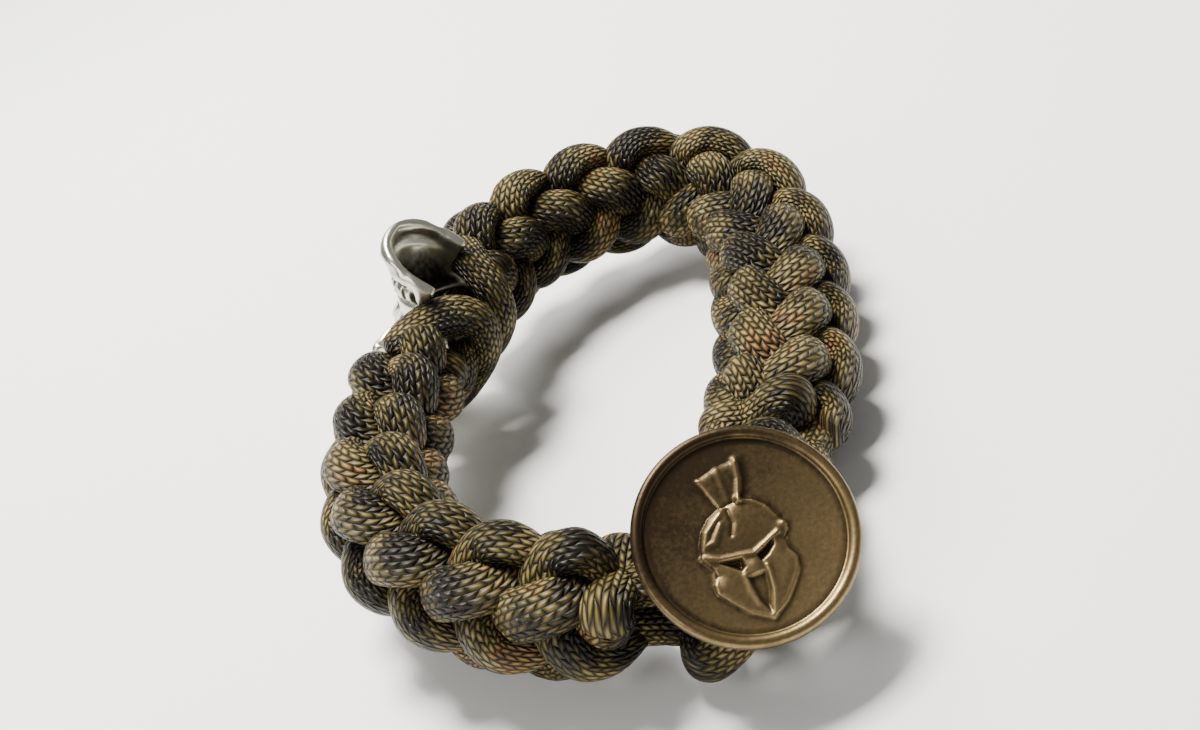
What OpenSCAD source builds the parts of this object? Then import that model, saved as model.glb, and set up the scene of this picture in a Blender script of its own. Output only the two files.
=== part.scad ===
// Paracord bracelet: a knotted ring of cord that lies on its edge, with a skull bead threaded on it
// and a metal button held by a cord loop. It rests on the bead's crown and on the band across from it.
// Origin: on the surface that it rests on, under the middle of its box. +X right, +Y back, +Z up.

/* [Ring] */
// Width of the ring's middle line, left to right
ring_width = 40.2; // [38:0.2:43]
// Length of the ring's middle line, front to back
ring_length = 70.8; // [69:0.2:78]
// Width of the knotted band
band_width = 15.4; // [14.8:0.1:16]
// Thickness of the knotted band
band_thickness = 12.2; // [11.8:0.1:12.8]
// Knots from the button cord to the bead
right_knots = 11; // [10:1:12]
// Knots from the bead to the closing loop
left_knots = 8; // [7:1:9]

/* [Cord] */
// Diameter of the cord where it runs free
cord_d = 4.0; // [3.8:0.05:4.1]
// Diameter of the cord where the knots squeeze it
packed_cord_d = 3.6; // [3.4:0.05:3.8]
// Diameter of the cord where the bead squeezes it
bead_cord_d = 3.2; // [3:0.05:3.4]

/* [Skull bead] */
// Height of the bead from the crown to the chin
bead_height = 24; // [23:0.1:25]
// Radius of the cranium
cranium_r = 6.2; // [6:0.05:6.4]
// Height of the cord slot's middle above the crown
slot_height = 15; // [14.6:0.1:15.4]
// Depth of the bead's back behind the middle of the cords
back_depth = 3.2; // [3:0.1:3.6]
// Width of the jaw
jaw_width = 10.4; // [10:0.1:11]
// Reach of the jaw in front of the middle of the cords
jaw_reach = 10.4; // [10:0.1:11]
// Wall of the cast metal
bead_wall = 1.2; // [1:0.05:1.4]
// Lean of the bead's chin towards the wrist, in degrees
bead_lean = 38; // [34:1:42]

/* [Button] */
// Diameter of the button
button_d = 19; // [18:0.1:20]
// Thickness of the button's plate
button_plate = 1.2; // [1:0.05:1.5]
// Height of the rolled rim above the plate
rim_height = 0.7; // [0.5:0.05:0.9]
// Radius of the rolled rim
rim_r = 0.55; // [0.4:0.05:0.65]
// Height of the raised figure
relief_height = 0.5; // [0.3:0.05:0.7]
// Distance from the plate's middle to the centre of the shank's eye
shank_drop = 8.4; // [8.2:0.05:9]
// Radius of the wire that the shank's eye is made of
eye_wire_r = 0.7; // [0.6:0.05:0.8]
// Height of the button's centre above the ring's lower edge
button_height = 14.4; // [14.2:0.05:15]
// Lean of the button's face back from upright, in degrees
button_lean = 58; // [56:1:60]
// Turn of the button's face to the right, in degrees
button_turn = 25; // [22:1:28]

/* [Hidden] */

gap = 0.25;
fine = 64;

// Directions of the button: to its right, up its face and out of its face
button_right = [cos(button_turn), sin(button_turn), 0];
button_up = [-sin(button_turn) * sin(button_lean), cos(button_turn) * sin(button_lean), cos(button_lean)];
button_out = cross(button_right, button_up);

// Middle line of the ring seen from above, anticlockwise from the button's corner:
// shares of half the ring's width and half its length
route_table = [
  [0.81, -0.92], [0.95, -0.52], [1.00, -0.11], [0.91, 0.24], [0.75, 0.59], [0.50, 0.87],
  [0.06, 1.00], [-0.40, 0.91], [-0.79, 0.68], [-0.94, 0.38], [-1.00, 0.07], [-0.96, -0.28],
  [-0.84, -0.60], [-0.56, -0.84], [-0.14, -0.97], [0.35, -1.00]
];

// Turn of the band's section along the ring: share of the ring's length, degrees that the top leans outwards
turn_table = [[0.10, 90], [0.25, 90], [0.42, 10], [0.60, 0], [0.72, -30], [0.85, -15], [0.96, 0]];

// Path of one cord through one knot: share of the reach across the band, share of the reach outwards,
// share of a knot's length. The other cord is turned half round and moved on by half a knot.
strand_table = [
  [0.15, -0.35, -0.15], [-0.10, -0.65, 0.00], [-0.30, -0.90, 0.15], [-0.50, -1.00, 0.40],
  [-0.60, -0.85, 0.65], [-0.55, -0.45, 0.80], [-0.45, 0.00, 0.80], [-0.50, 0.45, 0.70],
  [-0.50, 0.80, 0.55], [-0.40, 1.00, 0.30], [-0.15, 0.90, 0.10], [0.10, 0.60, 0.00],
  [0.35, 0.35, -0.10], [0.70, 0.25, -0.10], [0.95, 0.05, 0.05], [1.00, -0.10, 0.35],
  [0.80, -0.25, 0.60], [0.45, -0.30, 0.70]
];

// A smooth curve through a closed or open list of points
function spline(a, b, c, d, t) =
  0.5 * (2 * b + (c - a) * t + (2 * a - 5 * b + 4 * c - d) * t * t
         + (3 * b - a - 3 * c + d) * t * t * t);
function closed_point(list, at) =
  let (n = len(list), i = floor(at), t = at - i)
  spline(list[(i + n - 1) % n], list[i % n], list[(i + 1) % n], list[(i + 2) % n], t);
function open_point(list, at) =
  let (n = len(list) - 1, i = min(floor(at), n - 1), t = at - i)
  spline(i > 0 ? list[i - 1] : 2 * list[0] - list[1], list[i], list[i + 1],
         i + 2 > n ? 2 * list[n] - list[n - 1] : list[i + 2], t);

// The ring's middle line, measured along its length
route_steps = 16;
route_points = [for (i = [0:len(route_table) * route_steps])
  let (p = closed_point(route_table, (i % (len(route_table) * route_steps)) / route_steps))
  [p[0] * ring_width / 2, p[1] * ring_length / 2]];
function running(list, i = 0, total = 0) =
  i == len(list) - 1 ? [total]
  : concat([total], running(list, i + 1, total + norm(list[i + 1] - list[i])));
route_lengths = running(route_points);
ring_total = route_lengths[len(route_lengths) - 1];
route_x = [for (i = [0:len(route_points) - 1]) [route_lengths[i], route_points[i][0]]];
route_y = [for (i = [0:len(route_points) - 1]) [route_lengths[i], route_points[i][1]]];
function route_at(s) =
  let (r = s - floor(s / ring_total) * ring_total)
  [lookup(r, route_x), lookup(r, route_y)];
function route_tangent(s) =
  let (d = route_at(s + 0.8) - route_at(s - 0.8))
  d / norm(d);

// Where things lie along the middle line, as shares of its length
band_start = 0.111 * ring_total;
bead_at = 0.635 * ring_total;
band_end = 0.972 * ring_total;
bead_half = 7.1;

// The ring's own plane: its middle line runs at this height over its lower edge
middle_height = band_width / 2;
function middle(s) =
  let (p = route_at(s))
  [p[0], p[1], middle_height];

// A point beside the middle line: upwards, and outwards from the wrist
function beside(s, up, outward) =
  let (t = route_tangent(s))
  middle(s) + [outward * t[1], -outward * t[0], up];

// A point of the band's section, which turns along the ring
function on_band(s, angle, reach) =
  let (a = angle + lookup(s / ring_total, turn_table))
  beside(s, reach * cos(a), reach * sin(a));

// The outer surface that the two cords make, worked out once for one knot
across_reach = (band_width - packed_cord_d) / 2;
outward_reach = (band_thickness - packed_cord_d) / 2;
knot_rings = 10;
band_sides = 22;
strand_steps = 4;
core_share = 0.78;
groove_fill = 0.35;
function strand_points(turned) =
  [for (i = [0:len(strand_table) * strand_steps - 1])
    let (n = len(strand_table), at = i / strand_steps, k = floor(at), t = at - k,
         row = function (j) strand_table[j % n] + [0, 0, floor(j / n)],
         p = spline(k > 0 ? row(k - 1) : row(n - 1) - [0, 0, 1], row(k), row(k + 1), row(k + 2), t),
         side = turned ? -1 : 1)
    [side * p[0] * across_reach, side * p[1] * outward_reach, p[2] + (turned ? 0.5 : 0)]];
both_strands = concat(strand_points(false), strand_points(true));
// How far out the cords reach in one direction at one place along a knot
function reach_out(angle, share, pitch) =
  let (u = [cos(angle), sin(angle)], r = packed_cord_d / 2 + groove_fill,
       hits = [for (p = both_strands) for (turn = [-2:1])
         let (along = (p[2] + turn - share) * pitch, flat = [p[0], p[1]] * u,
              off2 = p[0] * p[0] + p[1] * p[1] - flat * flat + along * along)
         if (off2 < r * r) flat + sqrt(r * r - off2) - groove_fill])
  max(concat(hits, [core_share * band_oval(angle)]));
function band_oval(angle) =
  1 / norm([cos(angle) / (band_width / 2), sin(angle) / (band_thickness / 2)]);
function softened(rows) =
  let (n = len(rows), m = len(rows[0]))
  [for (i = [0:n - 1]) [for (j = [0:m - 1])
    (4 * rows[i][j] + rows[(i + 1) % n][j] + rows[(i + n - 1) % n][j]
     + rows[i][(j + 1) % m] + rows[i][(j + m - 1) % m]) / 8]];
function knot_surface(pitch) =
  let (rows = softened(softened([for (i = [0:knot_rings - 1])
         [for (j = [0:band_sides - 1]) reach_out(360 * j / band_sides, i / knot_rings, pitch)]])),
       reach_down = max([for (row = rows) for (j = [0:band_sides - 1])
         -row[j] * cos(360 * j / band_sides)]))
  rows * (band_width / 2 / reach_down);

// A closed solid through rings of points
module skin(rings) {
  n = len(rings[0]);
  last = (len(rings) - 1) * n;
  polyhedron(
    points = [for (ring = rings) for (p = ring) p],
    faces = concat(
      [[for (j = [0:n - 1]) j]],
      [for (i = [0:len(rings) - 2]) for (j = [0:n - 1])
        let (a = i * n + j, b = i * n + (j + 1) % n)
        each [[a, a + n, b], [b, a + n, b + n]]],
      [[for (j = [n - 1:-1:0]) last + j]]),
    convexity = 10);
}

// The last knot draws in where the band ends
end_length = 3.4;
end_share = 0.74;
function drawn_in(s, from, to) =
  let (in = min(1, min(s - from, to - s) / end_length))
  1 - (1 - end_share) * (1 - in) * (1 - in);

// A length of knotted band between two places on the middle line
module knot_band(from, to, knots) {
  pitch = (to - from) / knots;
  surface = knot_surface(pitch);
  count = knots * knot_rings;
  skin([for (i = [0:count])
    let (s = from + i / knot_rings * pitch, row = surface[i % knot_rings] * drawn_in(s, from, to))
    [for (j = [0:band_sides - 1])
      let (angle = 360 * j / band_sides)
      on_band(s, angle, row[j])]]);
}

// A tube of cord along a list of points
cord_sides = 10;
module cord(points, steps, diameter) {
  count = (len(points) - 1) * steps;
  line = [for (i = [0:count]) open_point(points, i / steps)];
  skin([for (i = [0:count])
    let (ahead = line[min(i + 1, count)] - line[max(i - 1, 0)],
         t = ahead / norm(ahead),
         side_raw = cross(t, [0, 0, 1]),
         side = side_raw / norm(side_raw),
         up = cross(side, t))
    [for (j = [0:cord_sides - 1])
      let (angle = 360 * j / cord_sides)
      line[i] + diameter / 2 * (up * cos(angle) + side * sin(angle))]]);
}

module knot_band_right() {
  color("#6b5e3e") resting() knot_band(band_start, bead_at - bead_half, right_knots);
}

module knot_band_left() {
  color("#6b5e3e") resting() knot_band(bead_at + bead_half, band_end, left_knots);
}

// The two cords that carry the bead, one over the other along the bead's own height
bead_inward = 0.5;
bead_cord_gap = 0.24;
cord_spread = (bead_cord_d + bead_cord_gap) / 2;
// A point given along the bead's own axes: x out of the face, y along the cords, z towards the chin
function in_bead(x, y, z) =
  beside(bead_at, z * cos(bead_lean) + x * sin(bead_lean),
         x * cos(bead_lean) - z * sin(bead_lean) - bead_inward)
  + y * concat(route_tangent(bead_at), [0]);
module bead_cord(side) {
  reach = bead_half - 2 * gap;
  color("#5c5138") resting()
    cord([for (share = [-1:0.5:1]) in_bead(0, share * reach, side * cord_spread)],
         2, bead_cord_d);
}
module bead_cord_upper() {
  bead_cord(1);
}
module bead_cord_lower() {
  bead_cord(-1);
}

// The bead hangs crown down. Its own axes: x out of the face, y along the cords, z towards the chin,
// from the middle of the slot that the cords run through.
chin_z = bead_height - slot_height;
crown_z = -slot_height;
cranium_x = -1.5;
cranium_z = crown_z + cranium_r;
forehead_x = -0.8;
forehead_rise = 2.6;
forehead_r = 5.4;
cheek_r = jaw_width / 2 + 1.1;
face_x = 4.6;
// The teeth slope outwards from the nose to a lip round the open underside
teeth_slope = 38;
teeth_length = 12;
lip_height = 2;
lip_step = 0.4;
jaw_back = 2.6;
slot_gap = 0.3;
slot_r = bead_cord_d / 2 + slot_gap;
slot_top = cord_spread + slot_r + bead_wall;
socket_r = 2.4;
patch_r = 2.7;
patch_front = 5.6;
eye_y = 3.3;
eye_z = -1.6;
strap_r = 0.45;
cheekbone_r = 2.6;
brow_r = 1.5;
nose_r = 1.2;
nose_depth = 0.7;
nose_below_lip = 6;

// A shape rounded in front and square behind, seen from above
module front_rounded(r, front, back) {
  translate([front - r, 0]) circle(r, $fn = fine);
  translate([back, -r]) square([front - r - back, 2 * r]);
}

module skull_form() {
  // Cranium
  translate([cranium_x, 0, cranium_z]) sphere(cranium_r, $fn = fine);
  translate([forehead_x, 0, cranium_z + forehead_rise]) sphere(forehead_r, $fn = fine);
  // Temples, and the cheeks that the slot runs through
  translate([0, 0, cranium_z])
    linear_extrude(slot_top - cranium_z) front_rounded(cheek_r - 0.2, face_x, -back_depth);
  for (side = [-1, 1])
    translate([face_x - cheekbone_r, side * (cheek_r - cheekbone_r + 0.4), 0.4])
      sphere(cheekbone_r, $fn = fine);
  // Brow
  translate([face_x - 1, 0, eye_z - socket_r]) rotate([90, 0, 0])
    cylinder(r = brow_r, h = 2 * (cheek_r - socket_r), center = true, $fn = fine);
  // Sides of the jaw, the sloping teeth and the lip
  translate([0, 0, eye_z]) linear_extrude(chin_z - eye_z)
    front_rounded(jaw_width / 2 - 0.3, face_x + 0.5, -back_depth);
  on_slope() translate([0, 0, -teeth_length])
    linear_extrude(teeth_length) front_rounded(jaw_width / 2 - 0.15, 0, -jaw_width);
  translate([0, 0, chin_z - lip_height]) linear_extrude(lip_height)
    front_rounded(jaw_width / 2, jaw_reach, -back_depth);
}

// Axes on the front of the teeth, right under the lip: x out of the teeth, z along them to the lip
module on_slope() {
  translate([jaw_reach - lip_step, 0, chin_z - lip_height]) rotate([0, teeth_slope, 0]) children();
}

module eye_patch() {
  translate([face_x - 2, -eye_y, eye_z]) rotate([0, 90, 0])
    cylinder(r = patch_r, h = patch_front - face_x + 2, $fn = fine);
}

module patch_straps() {
  translate([cranium_x, 0, cranium_z]) rotate([-50, 12, 0])
    for (side = [-1, 1])
      rotate_extrude($fn = fine) translate([cranium_r - 0.15, side * 0.55]) circle(strap_r, $fn = 24);
}

module skull_hollow() {
  // Slot for the two cords, through both sides
  for (side = [-1, 1])
    translate([0, 0, side * cord_spread]) rotate([90, 0, 0])
      cylinder(r = slot_r, h = 30, center = true, $fn = fine);
  translate([-slot_r, -15, -cord_spread]) cube([2 * slot_r, 30, 2 * cord_spread]);
  // Open underside, between the jaw's sides
  translate([0, 0, chin_z - lip_height]) linear_extrude(2 * lip_height)
    front_rounded(jaw_width / 2 - bead_wall, jaw_reach - bead_wall, bead_wall - back_depth);
  on_slope() translate([-bead_wall, 0, bead_wall - 0.75 * teeth_length])
    linear_extrude(0.75 * teeth_length)
      front_rounded(jaw_width / 2 - bead_wall - 0.15, 0, -0.6 * jaw_width);
  translate([0, 0, -cord_spread]) linear_extrude(chin_z + 2 * cord_spread)
    front_rounded(jaw_width / 2 - bead_wall - 0.3, face_x - bead_wall, bead_wall - back_depth);
  // The corner behind the slot is cut away
  translate([-back_depth, 0, slot_top]) rotate([0, 45, 0]) cube([3.4, 30, 3.4], center = true);
  // The eye that the patch leaves open, and the nose
  translate([face_x + 1.4, eye_y, eye_z]) sphere(socket_r, $fn = fine);
  on_slope() translate([0, 0, -nose_below_lip]) rotate([0, 90, 0])
    cylinder(r = nose_r, h = 2 * nose_depth, center = true, $fn = 3);
}

module skull_bead() {
  outward = beside(bead_at, 0, 1) - beside(bead_at, 0, 0);
  color("silver") resting()
    translate(in_bead(0, 0, 0)) rotate([0, 0, atan2(outward[1], outward[0])])
      rotate([0, -bead_lean, 0])
        difference() {
          union() {
            skull_form();
            patch_straps();
            eye_patch();
          }
          // Flat back that lies towards the wrist
          translate([-back_depth - 20, -15, crown_z - 5]) cube([20, 30, bead_height + 10]);
          // Everything ends at the lip's edge, and the jaw is open behind
          translate([-15, -15, chin_z]) cube([30, 30, 10]);
          translate([jaw_back - 20, -15, slot_top]) cube([20, 30, 10]);
          skull_hollow();
        }
}

// The button's own axes: x to the right, y up the face, z out of the face
button_beside = [5.3, -0.8];
button_centre = concat(route_at(0) + button_beside, [button_height]);
plate_bottom = -button_plate / 2;
plate_top = button_plate / 2;
eye_ring_r = cord_d / 2 + gap + eye_wire_r;
post_r = 1.0;

// A helmet with a fanned crest, seen from the front and a little from its right
figure_scale = button_d / 19;
helmet = [
  [-1.4, 2.7], [0.3, 3.1], [1.4, 2.8], [2.4, 2.0], [3.0, 0.8], [3.6, 0.2], [3.6, -0.4], [3.0, -1.1],
  [3.1, -2.0], [3.6, -2.8], [3.5, -3.9], [2.8, -5.0], [1.7, -6.3], [0.2, -7.4], [-1.5, -6.5],
  [-2.9, -5.2], [-3.7, -4.2], [-3.7, -3.5], [-3.2, -2.8], [-3.3, -2.1], [-4.1, -1.1], [-3.9, 0.1],
  [-3.5, 1.1], [-2.6, 2.1]
];
crest = [[-1.4, 2.4], [-2.6, 5.5], [-0.8, 6.2], [1.2, 6.5], [0.5, 2.8]];
eye_openings = [
  [[-2.7, -1.8], [-0.9, -1.9], [-0.8, -2.6], [-1.2, -2.9], [-1.9, -2.4]],
  [[0.4, -1.9], [2.1, -0.9], [1.9, -1.5], [1.3, -2.1], [0.6, -2.5]]
];
face_opening = [[-0.9, -3.5], [0.8, -3.3], [0.7, -5.0], [0.2, -6.9], [-0.5, -5.8]];
module button_figure() {
  polygon(figure_scale * crest);
  difference() {
    polygon(figure_scale * helmet);
    for (opening = eye_openings)
      polygon(figure_scale * opening);
    polygon(figure_scale * face_opening);
  }
}

module button() {
  color("#8a7048") resting()
    translate(button_centre) rotate([90 - button_lean, 0, button_turn]) {
      translate([0, 0, plate_bottom])
        cylinder(d = button_d - 2 * rim_r, h = button_plate, $fn = fine);
      // Rolled rim, with the edge that shows below it
      translate([0, 0, plate_top + rim_height - rim_r])
        rotate_extrude($fn = fine) translate([button_d / 2 - rim_r, 0]) circle(rim_r, $fn = 24);
      translate([0, 0, plate_bottom])
        rotate_extrude($fn = fine) translate([button_d / 2 - 2 * rim_r, 0])
          square([1.6 * rim_r, button_plate + rim_height - rim_r]);
      translate([0, 0, plate_top - 0.1])
        linear_extrude(relief_height + 0.1) button_figure();
      // Shank: a post with a wire eye
      translate([0, 0, -shank_drop + eye_ring_r])
        cylinder(r = post_r, h = shank_drop - eye_ring_r, $fn = fine);
      translate([0, 0, -shank_drop]) rotate([0, 90, 0])
        rotate_extrude($fn = fine) translate([eye_ring_r, 0]) circle(eye_wire_r, $fn = 24);
    }
}

// A point given along the button's own axes
function on_button(p) =
  button_centre + p[0] * button_right + p[1] * button_up + p[2] * button_out;

// The cord that carries the button: out of the band, through the shank's eye and back
button_cord_spread = 4.3;
straight_out = 2.3;
end_gap = 0.5;
module button_cord() {
  color("#5c5138") resting()
    cord(concat(
           [beside(band_start - end_gap, 0, -button_cord_spread),
            beside(band_start - straight_out, 0, -button_cord_spread)],
           [for (p = [[-6.7, 15, -6.6], [-6.6, 10.5, -7.2], [-6.3, 6.5, -7.7], [-5.0, 3.1, -7.6]])
             button_centre + p],
           [for (x = [-1.8, 0, 1.8]) on_button([x, 0, -shank_drop])],
           [for (p = [[2.8, 6.5, -7.4], [3.7, 10.5, -7.1], [3.4, 15, -6.8]]) button_centre + p],
           [beside(band_start - straight_out, 0, button_cord_spread),
            beside(band_start - end_gap, 0, button_cord_spread)]),
         4, cord_d);
}

// The loop at the other end, which goes round the shank under the button
module closing_loop() {
  color("#5c5138") resting()
    cord(concat(
           [beside(band_end + end_gap, 2.3, 0), beside(band_end + straight_out, 2.7, 0.3)],
           [for (p = [[-4.3, 0.3, -1.9], [-4.3, 6.5, -2.4], [-3.8, 12.5, -2.9],
                      [-1.0, 16.5, -3.1], [1.9, 13.0, -2.9], [3.0, 7.5, -2.4], [2.7, 2.0, -2.9],
                      [0.7, -2.3, -5.9], [-3.3, -4.8, -9.6]])
             button_centre + p],
           [beside(band_end + 1.7 * straight_out, -2.7, 1.9), beside(band_end + straight_out, -2.4, 0.4),
            beside(band_end + end_gap, -2.4, 0)]),
         4, cord_d);
}

// How the ring rests: turned about the two flat axes, so that the crown and the right band touch the
// surface, and moved so that the origin lies under the middle of its box
rest_turn = [0.5, 8.55];
function turned(p) =
  let (a = rest_turn[0], b = rest_turn[1],
       y = p[1] * cos(a) - p[2] * sin(a), z = p[1] * sin(a) + p[2] * cos(a))
  [p[0] * cos(b) + z * sin(b), y, z * cos(b) - p[0] * sin(b)];
rim_lift = plate_top + rim_height - rim_r;
function rim_edge(axis, side) =
  turned(button_centre + rim_lift * button_out)[axis]
  + side * ((button_d / 2 - rim_r) * sqrt(1 - pow(turned(button_out)[axis], 2)) + rim_r);
back_lobe = 0.4;
back_edge = (ring_length + band_thickness) / 2 + back_lobe;
strap_beyond = 0.17;
left_edge = turned(in_bead(cranium_x, 0, cranium_z))[0] - cranium_r - strap_beyond;
crown_below = sqrt(pow(cranium_r, 2) - pow(back_depth + cranium_x, 2));
lowest = turned(in_bead(-back_depth, 0, cranium_z - crown_below))[2];
rest_shift = [-(left_edge + rim_edge(0, 1)) / 2, -(rim_edge(1, -1) + back_edge) / 2, -lowest];
module resting() {
  translate(rest_shift) rotate([rest_turn[0], rest_turn[1], 0]) children();
}

knot_band_right();
knot_band_left();
bead_cord_upper();
bead_cord_lower();
skull_bead();
button_cord();
closing_loop();
button();
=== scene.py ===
"""Looks of a paracord bracelet: woven cord over the knots, a cast skull bead, a pressed metal button."""
import math

import bpy
import numpy as np
from mathutils import Matrix, Vector


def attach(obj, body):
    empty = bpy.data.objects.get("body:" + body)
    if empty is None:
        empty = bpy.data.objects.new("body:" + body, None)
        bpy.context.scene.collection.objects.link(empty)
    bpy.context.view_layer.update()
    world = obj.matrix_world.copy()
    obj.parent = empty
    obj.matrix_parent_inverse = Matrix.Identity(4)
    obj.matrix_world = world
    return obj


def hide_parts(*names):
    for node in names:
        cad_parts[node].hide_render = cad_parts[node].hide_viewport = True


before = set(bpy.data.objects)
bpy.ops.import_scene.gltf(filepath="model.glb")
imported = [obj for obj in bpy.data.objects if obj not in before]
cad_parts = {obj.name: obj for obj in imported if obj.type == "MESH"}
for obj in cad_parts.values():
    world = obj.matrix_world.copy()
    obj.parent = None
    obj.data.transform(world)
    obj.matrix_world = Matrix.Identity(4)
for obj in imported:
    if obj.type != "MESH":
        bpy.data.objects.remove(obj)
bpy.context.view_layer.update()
MM = 0.001

# Named sizes of the part, in millimetres
RING_WIDTH, RING_LENGTH = 40.2, 70.8
BAND_WIDTH, BAND_THICKNESS = 15.4, 12.2
RIGHT_KNOTS, LEFT_KNOTS = 11, 8
CORD_D, PACKED_CORD_D, BEAD_CORD_D = 4.0, 3.6, 3.2
BAND_START, BEAD_AT, BAND_END = 0.111, 0.635, 0.972
BEAD_HALF, BEAD_LEAN, BEAD_INWARD = 7.1, 38.0, 0.5
BUTTON_D, BUTTON_LEAN, BUTTON_TURN = 19.0, 58.0, 25.0
END_LENGTH, END_SHARE = 3.4, 0.74
BAND_CORD_HEIGHT, BAND_CORD_WIDTH = 3.45, 4.9
TURN_CORD_HEIGHT, TURN_CORD_WIDTH = 3.2, 4.7
UNDER_CORD_WIDTH, UNDER_STEPS = 4.6, 20
STRAND_INSET = 1.9
CORE_SHARE, CORE_SIDES = 0.50, 20
CORD_SIDES, FREE_CORD_SIDES, CURVE_STEPS, ROUTE_STEPS = 24, 28, 30, 48
MIDDLE_HEIGHT = BAND_WIDTH / 2
# How the ring rests: turn about x and y in degrees, then a shift in millimetres
REST_TURN = (0.5, 8.55)
REST_SHIFT = np.array([-1.40758, 0.16091, 1.91706])
# Middle line of the ring seen from above: shares of half its width and half its length
ROUTE = np.array([
    [0.81, -0.92], [0.95, -0.52], [1.00, -0.11], [0.91, 0.24], [0.75, 0.59], [0.50, 0.87],
    [0.06, 1.00], [-0.40, 0.91], [-0.79, 0.68], [-0.94, 0.38], [-1.00, 0.07], [-0.96, -0.28],
    [-0.84, -0.60], [-0.56, -0.84], [-0.14, -0.97], [0.35, -1.00]])
# Turn of the band's section: share of the ring's length, degrees that its top leans outwards
TURN = np.array([[0.10, 90], [0.25, 90], [0.42, 10], [0.60, 0], [0.72, -30], [0.85, -15], [0.96, 0]])
# One cord in one knot: shares of the reach across, of the reach outwards and of a knot's length
STRAND = np.array([
    [0.15, -0.35, -0.15], [-0.10, -0.65, 0.00], [-0.30, -0.90, 0.15], [-0.50, -1.00, 0.40],
    [-0.60, -0.85, 0.65], [-0.55, -0.45, 0.80], [-0.45, 0.00, 0.80], [-0.50, 0.45, 0.70],
    [-0.50, 0.80, 0.55], [-0.40, 1.00, 0.30], [-0.15, 0.90, 0.10], [0.10, 0.60, 0.00],
    [0.35, 0.35, -0.10], [0.70, 0.25, -0.10], [0.95, 0.05, 0.05], [1.00, -0.10, 0.35],
    [0.80, -0.25, 0.60], [0.45, -0.30, 0.70]])


# The ring's middle line and the places beside it
def curve(points, at, closed=False):
    """Smooth curve through points at the places given, one unit from point to point."""
    at = np.atleast_1d(np.asarray(at, float))
    n = len(points)
    if closed:
        i = np.floor(at).astype(int)
        a, b, c, d = (points[(i + k) % n] for k in (-1, 0, 1, 2))
    else:
        ext = np.vstack([2 * points[0] - points[1], points, 2 * points[-1] - points[-2]])
        i = np.clip(np.floor(at).astype(int), 0, n - 2)
        a, b, c, d = (ext[i + k] for k in (0, 1, 2, 3))
    t = (at - i)[:, None]
    return 0.5 * (2 * b + (c - a) * t + (2 * a - 5 * b + 4 * c - d) * t ** 2
                  + (3 * b - a - 3 * c + d) * t ** 3)


def run_length(line):
    """Distance from the first point of a line to each of its points."""
    return np.concatenate([[0], np.cumsum(np.linalg.norm(np.diff(line, axis=0), axis=1))])


route = curve(ROUTE * [RING_WIDTH / 2, RING_LENGTH / 2],
              np.linspace(0, len(ROUTE), len(ROUTE) * ROUTE_STEPS + 1), closed=True)
run = run_length(route)
TOTAL = run[-1]


def flat_at(s):
    r = np.mod(s, TOTAL)
    return np.stack([np.interp(r, run, route[:, 0]), np.interp(r, run, route[:, 1])], -1)


def tangent_at(s):
    d = flat_at(s + 0.8) - flat_at(s - 0.8)
    return d / np.linalg.norm(d, axis=-1, keepdims=True)


def beside(s, up, outward):
    """A point beside the middle line, in the ring's own plane."""
    s = np.asarray(s, float)
    p, t = flat_at(s), tangent_at(s)
    return np.stack([p[..., 0] + outward * t[..., 1], p[..., 1] - outward * t[..., 0],
                     MIDDLE_HEIGHT + up + 0 * s], -1)


def on_band(s, across, outward):
    a = np.radians(np.interp(s / TOTAL, TURN[:, 0], TURN[:, 1]))
    return beside(s, across * np.cos(a) - outward * np.sin(a), across * np.sin(a) + outward * np.cos(a))


def rest_matrix():
    a, b = map(math.radians, REST_TURN)
    rx = np.array([[1, 0, 0], [0, math.cos(a), -math.sin(a)], [0, math.sin(a), math.cos(a)]])
    ry = np.array([[math.cos(b), 0, math.sin(b)], [0, 1, 0], [-math.sin(b), 0, math.cos(b)]])
    return ry @ rx


REST = rest_matrix()


def resting(p):
    """From the ring's own plane to how it rests, in metres."""
    return (p @ REST.T + REST_SHIFT) * MM


# Meshes
def make_mesh(name, verts, faces, uv=None):
    mesh = bpy.data.meshes.new(name)
    faces = np.asarray(faces, np.int32)
    k = faces.shape[1]
    mesh.vertices.add(len(verts))
    mesh.vertices.foreach_set("co", np.asarray(verts, np.float32).ravel())
    mesh.loops.add(faces.size)
    mesh.loops.foreach_set("vertex_index", faces.ravel())
    mesh.polygons.add(len(faces))
    mesh.polygons.foreach_set("loop_start", np.arange(0, faces.size, k, dtype=np.int32))
    mesh.update(calc_edges=True)
    if uv is not None:
        layer = mesh.uv_layers.new(name="UVMap")
        layer.data.foreach_set("uv", np.asarray(uv, np.float32).ravel())
    mesh.polygons.foreach_set("use_smooth", np.full(len(faces), True))
    mesh.validate()
    obj = bpy.data.objects.new(name, mesh)
    bpy.context.scene.collection.objects.link(obj)
    return obj


def dress(obj, material, node=None):
    """Gives a piece its material and its place: on the body, and for a CAD node."""
    obj.data.materials.append(material)
    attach(obj, "root")
    if node:
        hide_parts(node)


def point_value(obj, name, values):
    layer = obj.data.attributes.new(name, "FLOAT", "POINT")
    layer.data.foreach_set("value", np.asarray(values, np.float32))


def grid_faces(rings, sides):
    i, j = np.meshgrid(np.arange(rings - 1), np.arange(sides), indexing="ij")
    a = i * sides + j
    b = i * sides + (j + 1) % sides
    return np.stack([a, b, b + sides, a + sides], -1).reshape(-1, 4)


def smooth_rows(v, width):
    k = np.exp(-0.5 * (np.arange(-3 * width, 3 * width + 1) / width) ** 2)
    k /= k.sum()
    pad = np.pad(v, ((len(k) // 2,) * 2, (0, 0)), mode="edge")
    return np.stack([np.convolve(pad[:, c], k, mode="valid") for c in range(v.shape[1])], -1)


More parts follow.
